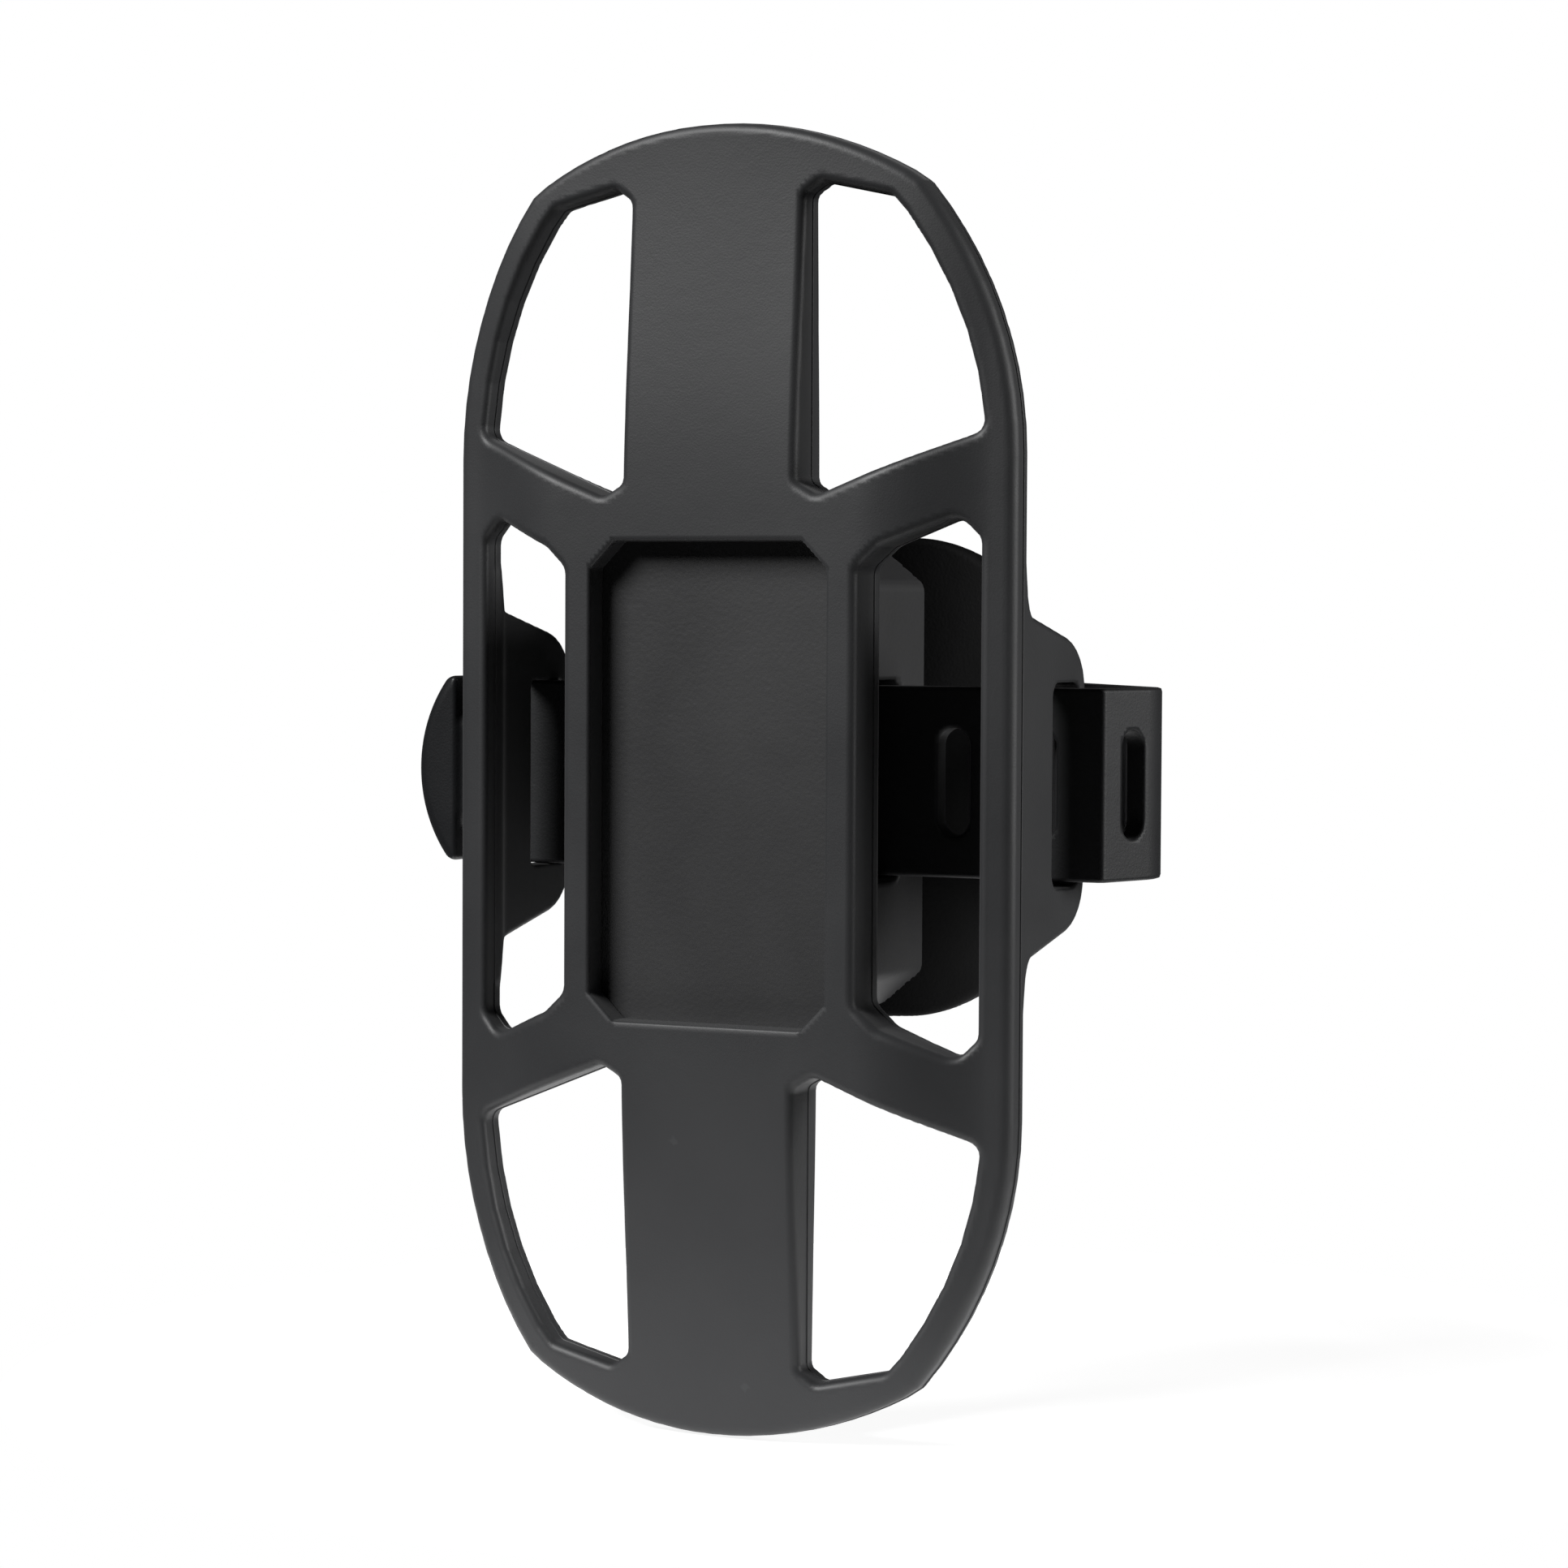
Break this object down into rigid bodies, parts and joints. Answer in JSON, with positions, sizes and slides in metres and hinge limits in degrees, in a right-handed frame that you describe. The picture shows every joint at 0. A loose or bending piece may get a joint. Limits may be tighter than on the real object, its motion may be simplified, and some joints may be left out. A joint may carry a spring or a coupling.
{
  "type": "bicycle phone mount",
  "caption": "Strap-on bicycle phone mount: an elastic web that stretches over a phone's corners, on a saddle block held to the stem by a toggle strap.",
  "frame": {"origin": "on the axis of the bicycle stem that the saddle fits, at mid height", "axes": "+X across the phone, +Y away from the phone to the back of the stem, +Z along the stem and the phone's long side"},
  "size_m": [0.0802, 0.0581, 0.1244],
  "materials": {
    "web_silicone": "matte moulded silicone",
    "block_plastic": "fine textured moulding",
    "pad_rubber": "matte grip rubber",
    "strap_silicone": "satin moulded silicone",
    "toggle_silicone": "satin moulded silicone"
  },
  "bodies": {
    "mount": {"web_harness": "web_silicone", "base_block": "block_plastic", "saddle_pad": "pad_rubber"},
    "strap": {"strap_run": "strap_silicone", "toggle": "toggle_silicone"},
    "strap_tail": {"strap_loop": "strap_silicone"},
    "strap_end": {"strap_hook_end": "strap_silicone"}
  },
  "joints": [
    {"name": "strap_slide", "type": "slide", "parent": "mount", "child": "strap", "axis": [-1, 0, 0], "range_m": [-0.001, 0.001]},
    {"name": "strap_open", "type": "hinge", "parent": "strap", "child": "strap_tail", "pos_m": [0.03526, -0.0156, 0], "axis": [0, 0, -1], "range_deg": [0, 100]},
    {"name": "hook_peel", "type": "hinge", "parent": "strap_tail", "child": "strap_end", "pos_m": [-0.03165, -0.0034, 0], "axis": [0, 0, -1], "range_deg": [0, 75], "deforming": ["strap_hook_end"]}
  ]
}
